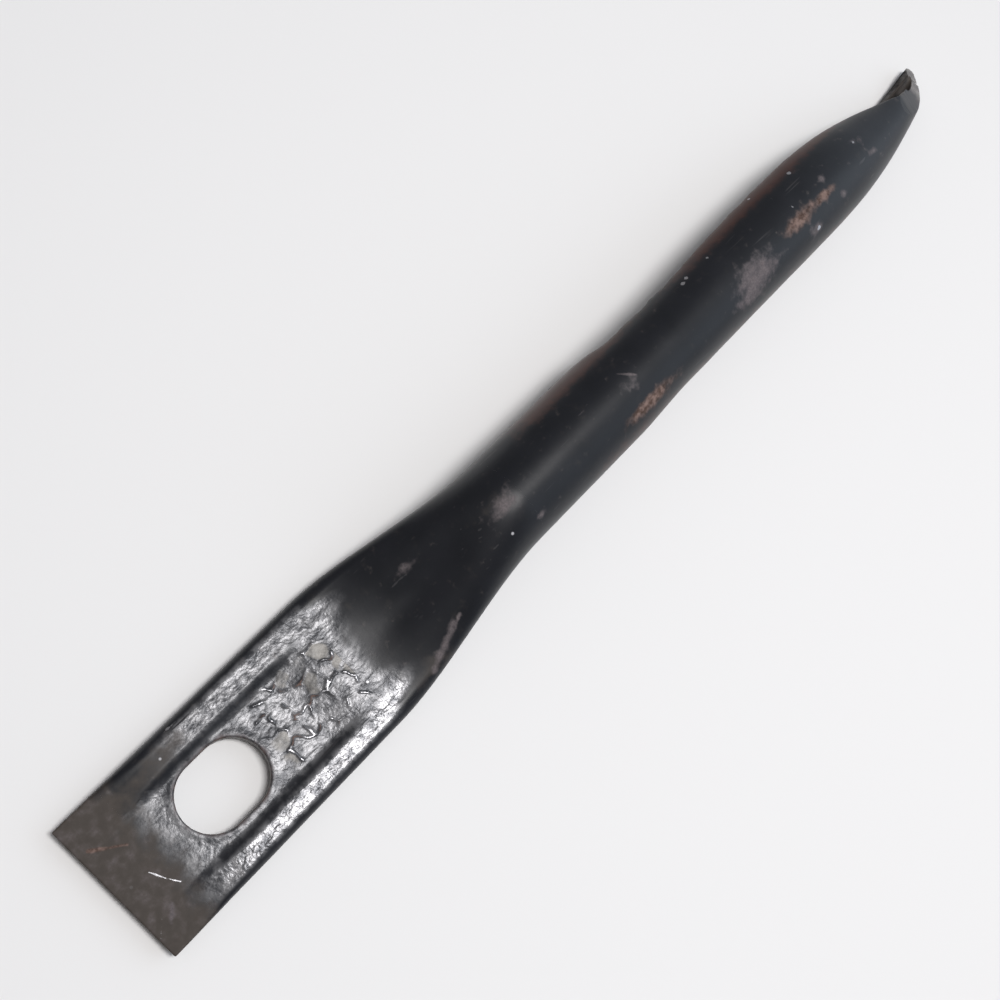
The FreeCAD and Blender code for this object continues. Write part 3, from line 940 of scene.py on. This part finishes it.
shank = slit_tube(NECK_END, TROUGH_START)


shank.piece("tube_shank_visual", "tube_shank", bar_wear_and_reflection, finishes, "black_enamel")

# The scoop's trough: the same tube, slit along its left side and spread to a C.
trough = slit_tube(TROUGH_START, TROUGH_END)


trough.piece("scoop_trough_visual", "scoop_trough", bar_wear_and_reflection, finishes, "black_enamel")

# The scoop's point: the C drawn down to a tip. Seen from above the tip has a round nose that
# slopes back on the right, and its top is ground to a slanting flat of bare steel.
POINT_END = stretch("scoop_point")[1]
NOSE_X, NOSE_Y = 324.4, 5.0
NOSE_R = POINT_END - NOSE_X
NOSE_CUTS = 12
CUT_TOLERANCE = 1e-5
TIP_OVERRUN = 0.12
WORN_START = NOSE_X - 12
WORN_SIDES = (-3, 12)
WORN_CELL = 0.4
WORN_REACH = 1.1
WORN_PASSES = 8
GROUND_POINT = Vector((POINT_END, 5.0, 1.5))
GROUND_NORMAL = Vector((0.58, -0.26, 1.0))
point = slit_tube(TROUGH_END, POINT_END + TIP_OVERRUN)


def whole(faces):
    """Faces with their edges and corners, in a fixed order."""
    edges = list(dict.fromkeys(e for f in faces for e in f.edges))
    corners = list(dict.fromkeys(v for f in faces for v in f.verts))
    return faces + edges + corners


def ground_tip(mesh):
    """Cuts the tip along its ground plane and its nose, and wears the new edges round."""
    work = bmesh.new()
    work.from_mesh(mesh)
    finish = work.faces.layers.int["finish"]
    cuts = [(GROUND_POINT, GROUND_NORMAL, GROUND)]
    for turn in np.linspace(math.pi / 2, -math.pi / 4, NOSE_CUTS):
        away = Vector((math.cos(turn), math.sin(turn), 0))
        cuts.append((Vector((NOSE_X, NOSE_Y, 0)) + NOSE_R * away, away, NOSE))
    for place, away, kind in cuts:
        if kind == NOSE:
            beyond = [f for f in work.faces if max(v.co.x for v in f.verts) > NOSE_X]
        else:
            beyond = list(work.faces)
        cut = bmesh.ops.bisect_plane(work, geom=whole(beyond), dist=CUT_TOLERANCE, plane_co=place,
                                     plane_no=away.normalized(), clear_outer=True)["geom_cut"]
        rim = [e for e in cut if isinstance(e, bmesh.types.BMEdge) and e.is_boundary]
        if rim:
            filled = bmesh.ops.triangle_fill(work, edges=rim, use_beauty=True)["geom"]
            for face in filled:
                if isinstance(face, bmesh.types.BMFace):
                    face[finish] = kind
    spans = ((Vector((1, 0, 0)), WORN_START + 1, POINT_END), (Vector((0, 1, 0)), *WORN_SIDES))
    for axis, first, last in spans:
        for place in np.arange(first, last, WORN_CELL):
            near = [f for f in work.faces if max(v.co.x for v in f.verts) > WORN_START]
            bmesh.ops.bisect_plane(work, geom=whole(near), dist=CUT_TOLERANCE,
                                   plane_co=axis * float(place), plane_no=axis)
    bmesh.ops.triangulate(work, faces=[f for f in work.faces if len(f.verts) > 4])
    bmesh.ops.recalc_face_normals(work, faces=work.faces)
    rim = [v.co for e in work.edges if len({f[finish] for f in e.link_faces}) > 1
           and max(f[finish] for f in e.link_faces) >= GROUND for v in e.verts]
    rim = np.array(rim)
    worn = [v for v in work.verts if v.co.x > WORN_START
            and np.linalg.norm(rim - np.array(v.co), axis=1).min() < WORN_REACH]
    for _ in range(WORN_PASSES):
        bmesh.ops.smooth_vert(work, verts=worn, factor=0.5, use_axis_x=True,
                              use_axis_y=True, use_axis_z=True)
    work.to_mesh(mesh)
    work.free()
    return mesh


def tip_wear_and_reflection(points):
    """The bar's own wear and painted flank reflection, with the enamel ground off the flat and off
    the nose's rim.
    """
    marks = bar_wear_and_reflection(points)
    gap = (points - np.array(GROUND_POINT)) @ np.array(GROUND_NORMAL.normalized())
    marks["flaked"] = 0.95 * bell(gap, 0, 0.5) * rise(points[:, 0], 315.5, 320.5)
    marks["dust"] = marks["dust"] + 0.45 * bell(gap, 0, 1.2) * rise(points[:, 0], 312, 318)
    return marks


point.piece("scoop_point_visual", "scoop_point", tip_wear_and_reflection, finishes, "black_enamel", ground_tip)
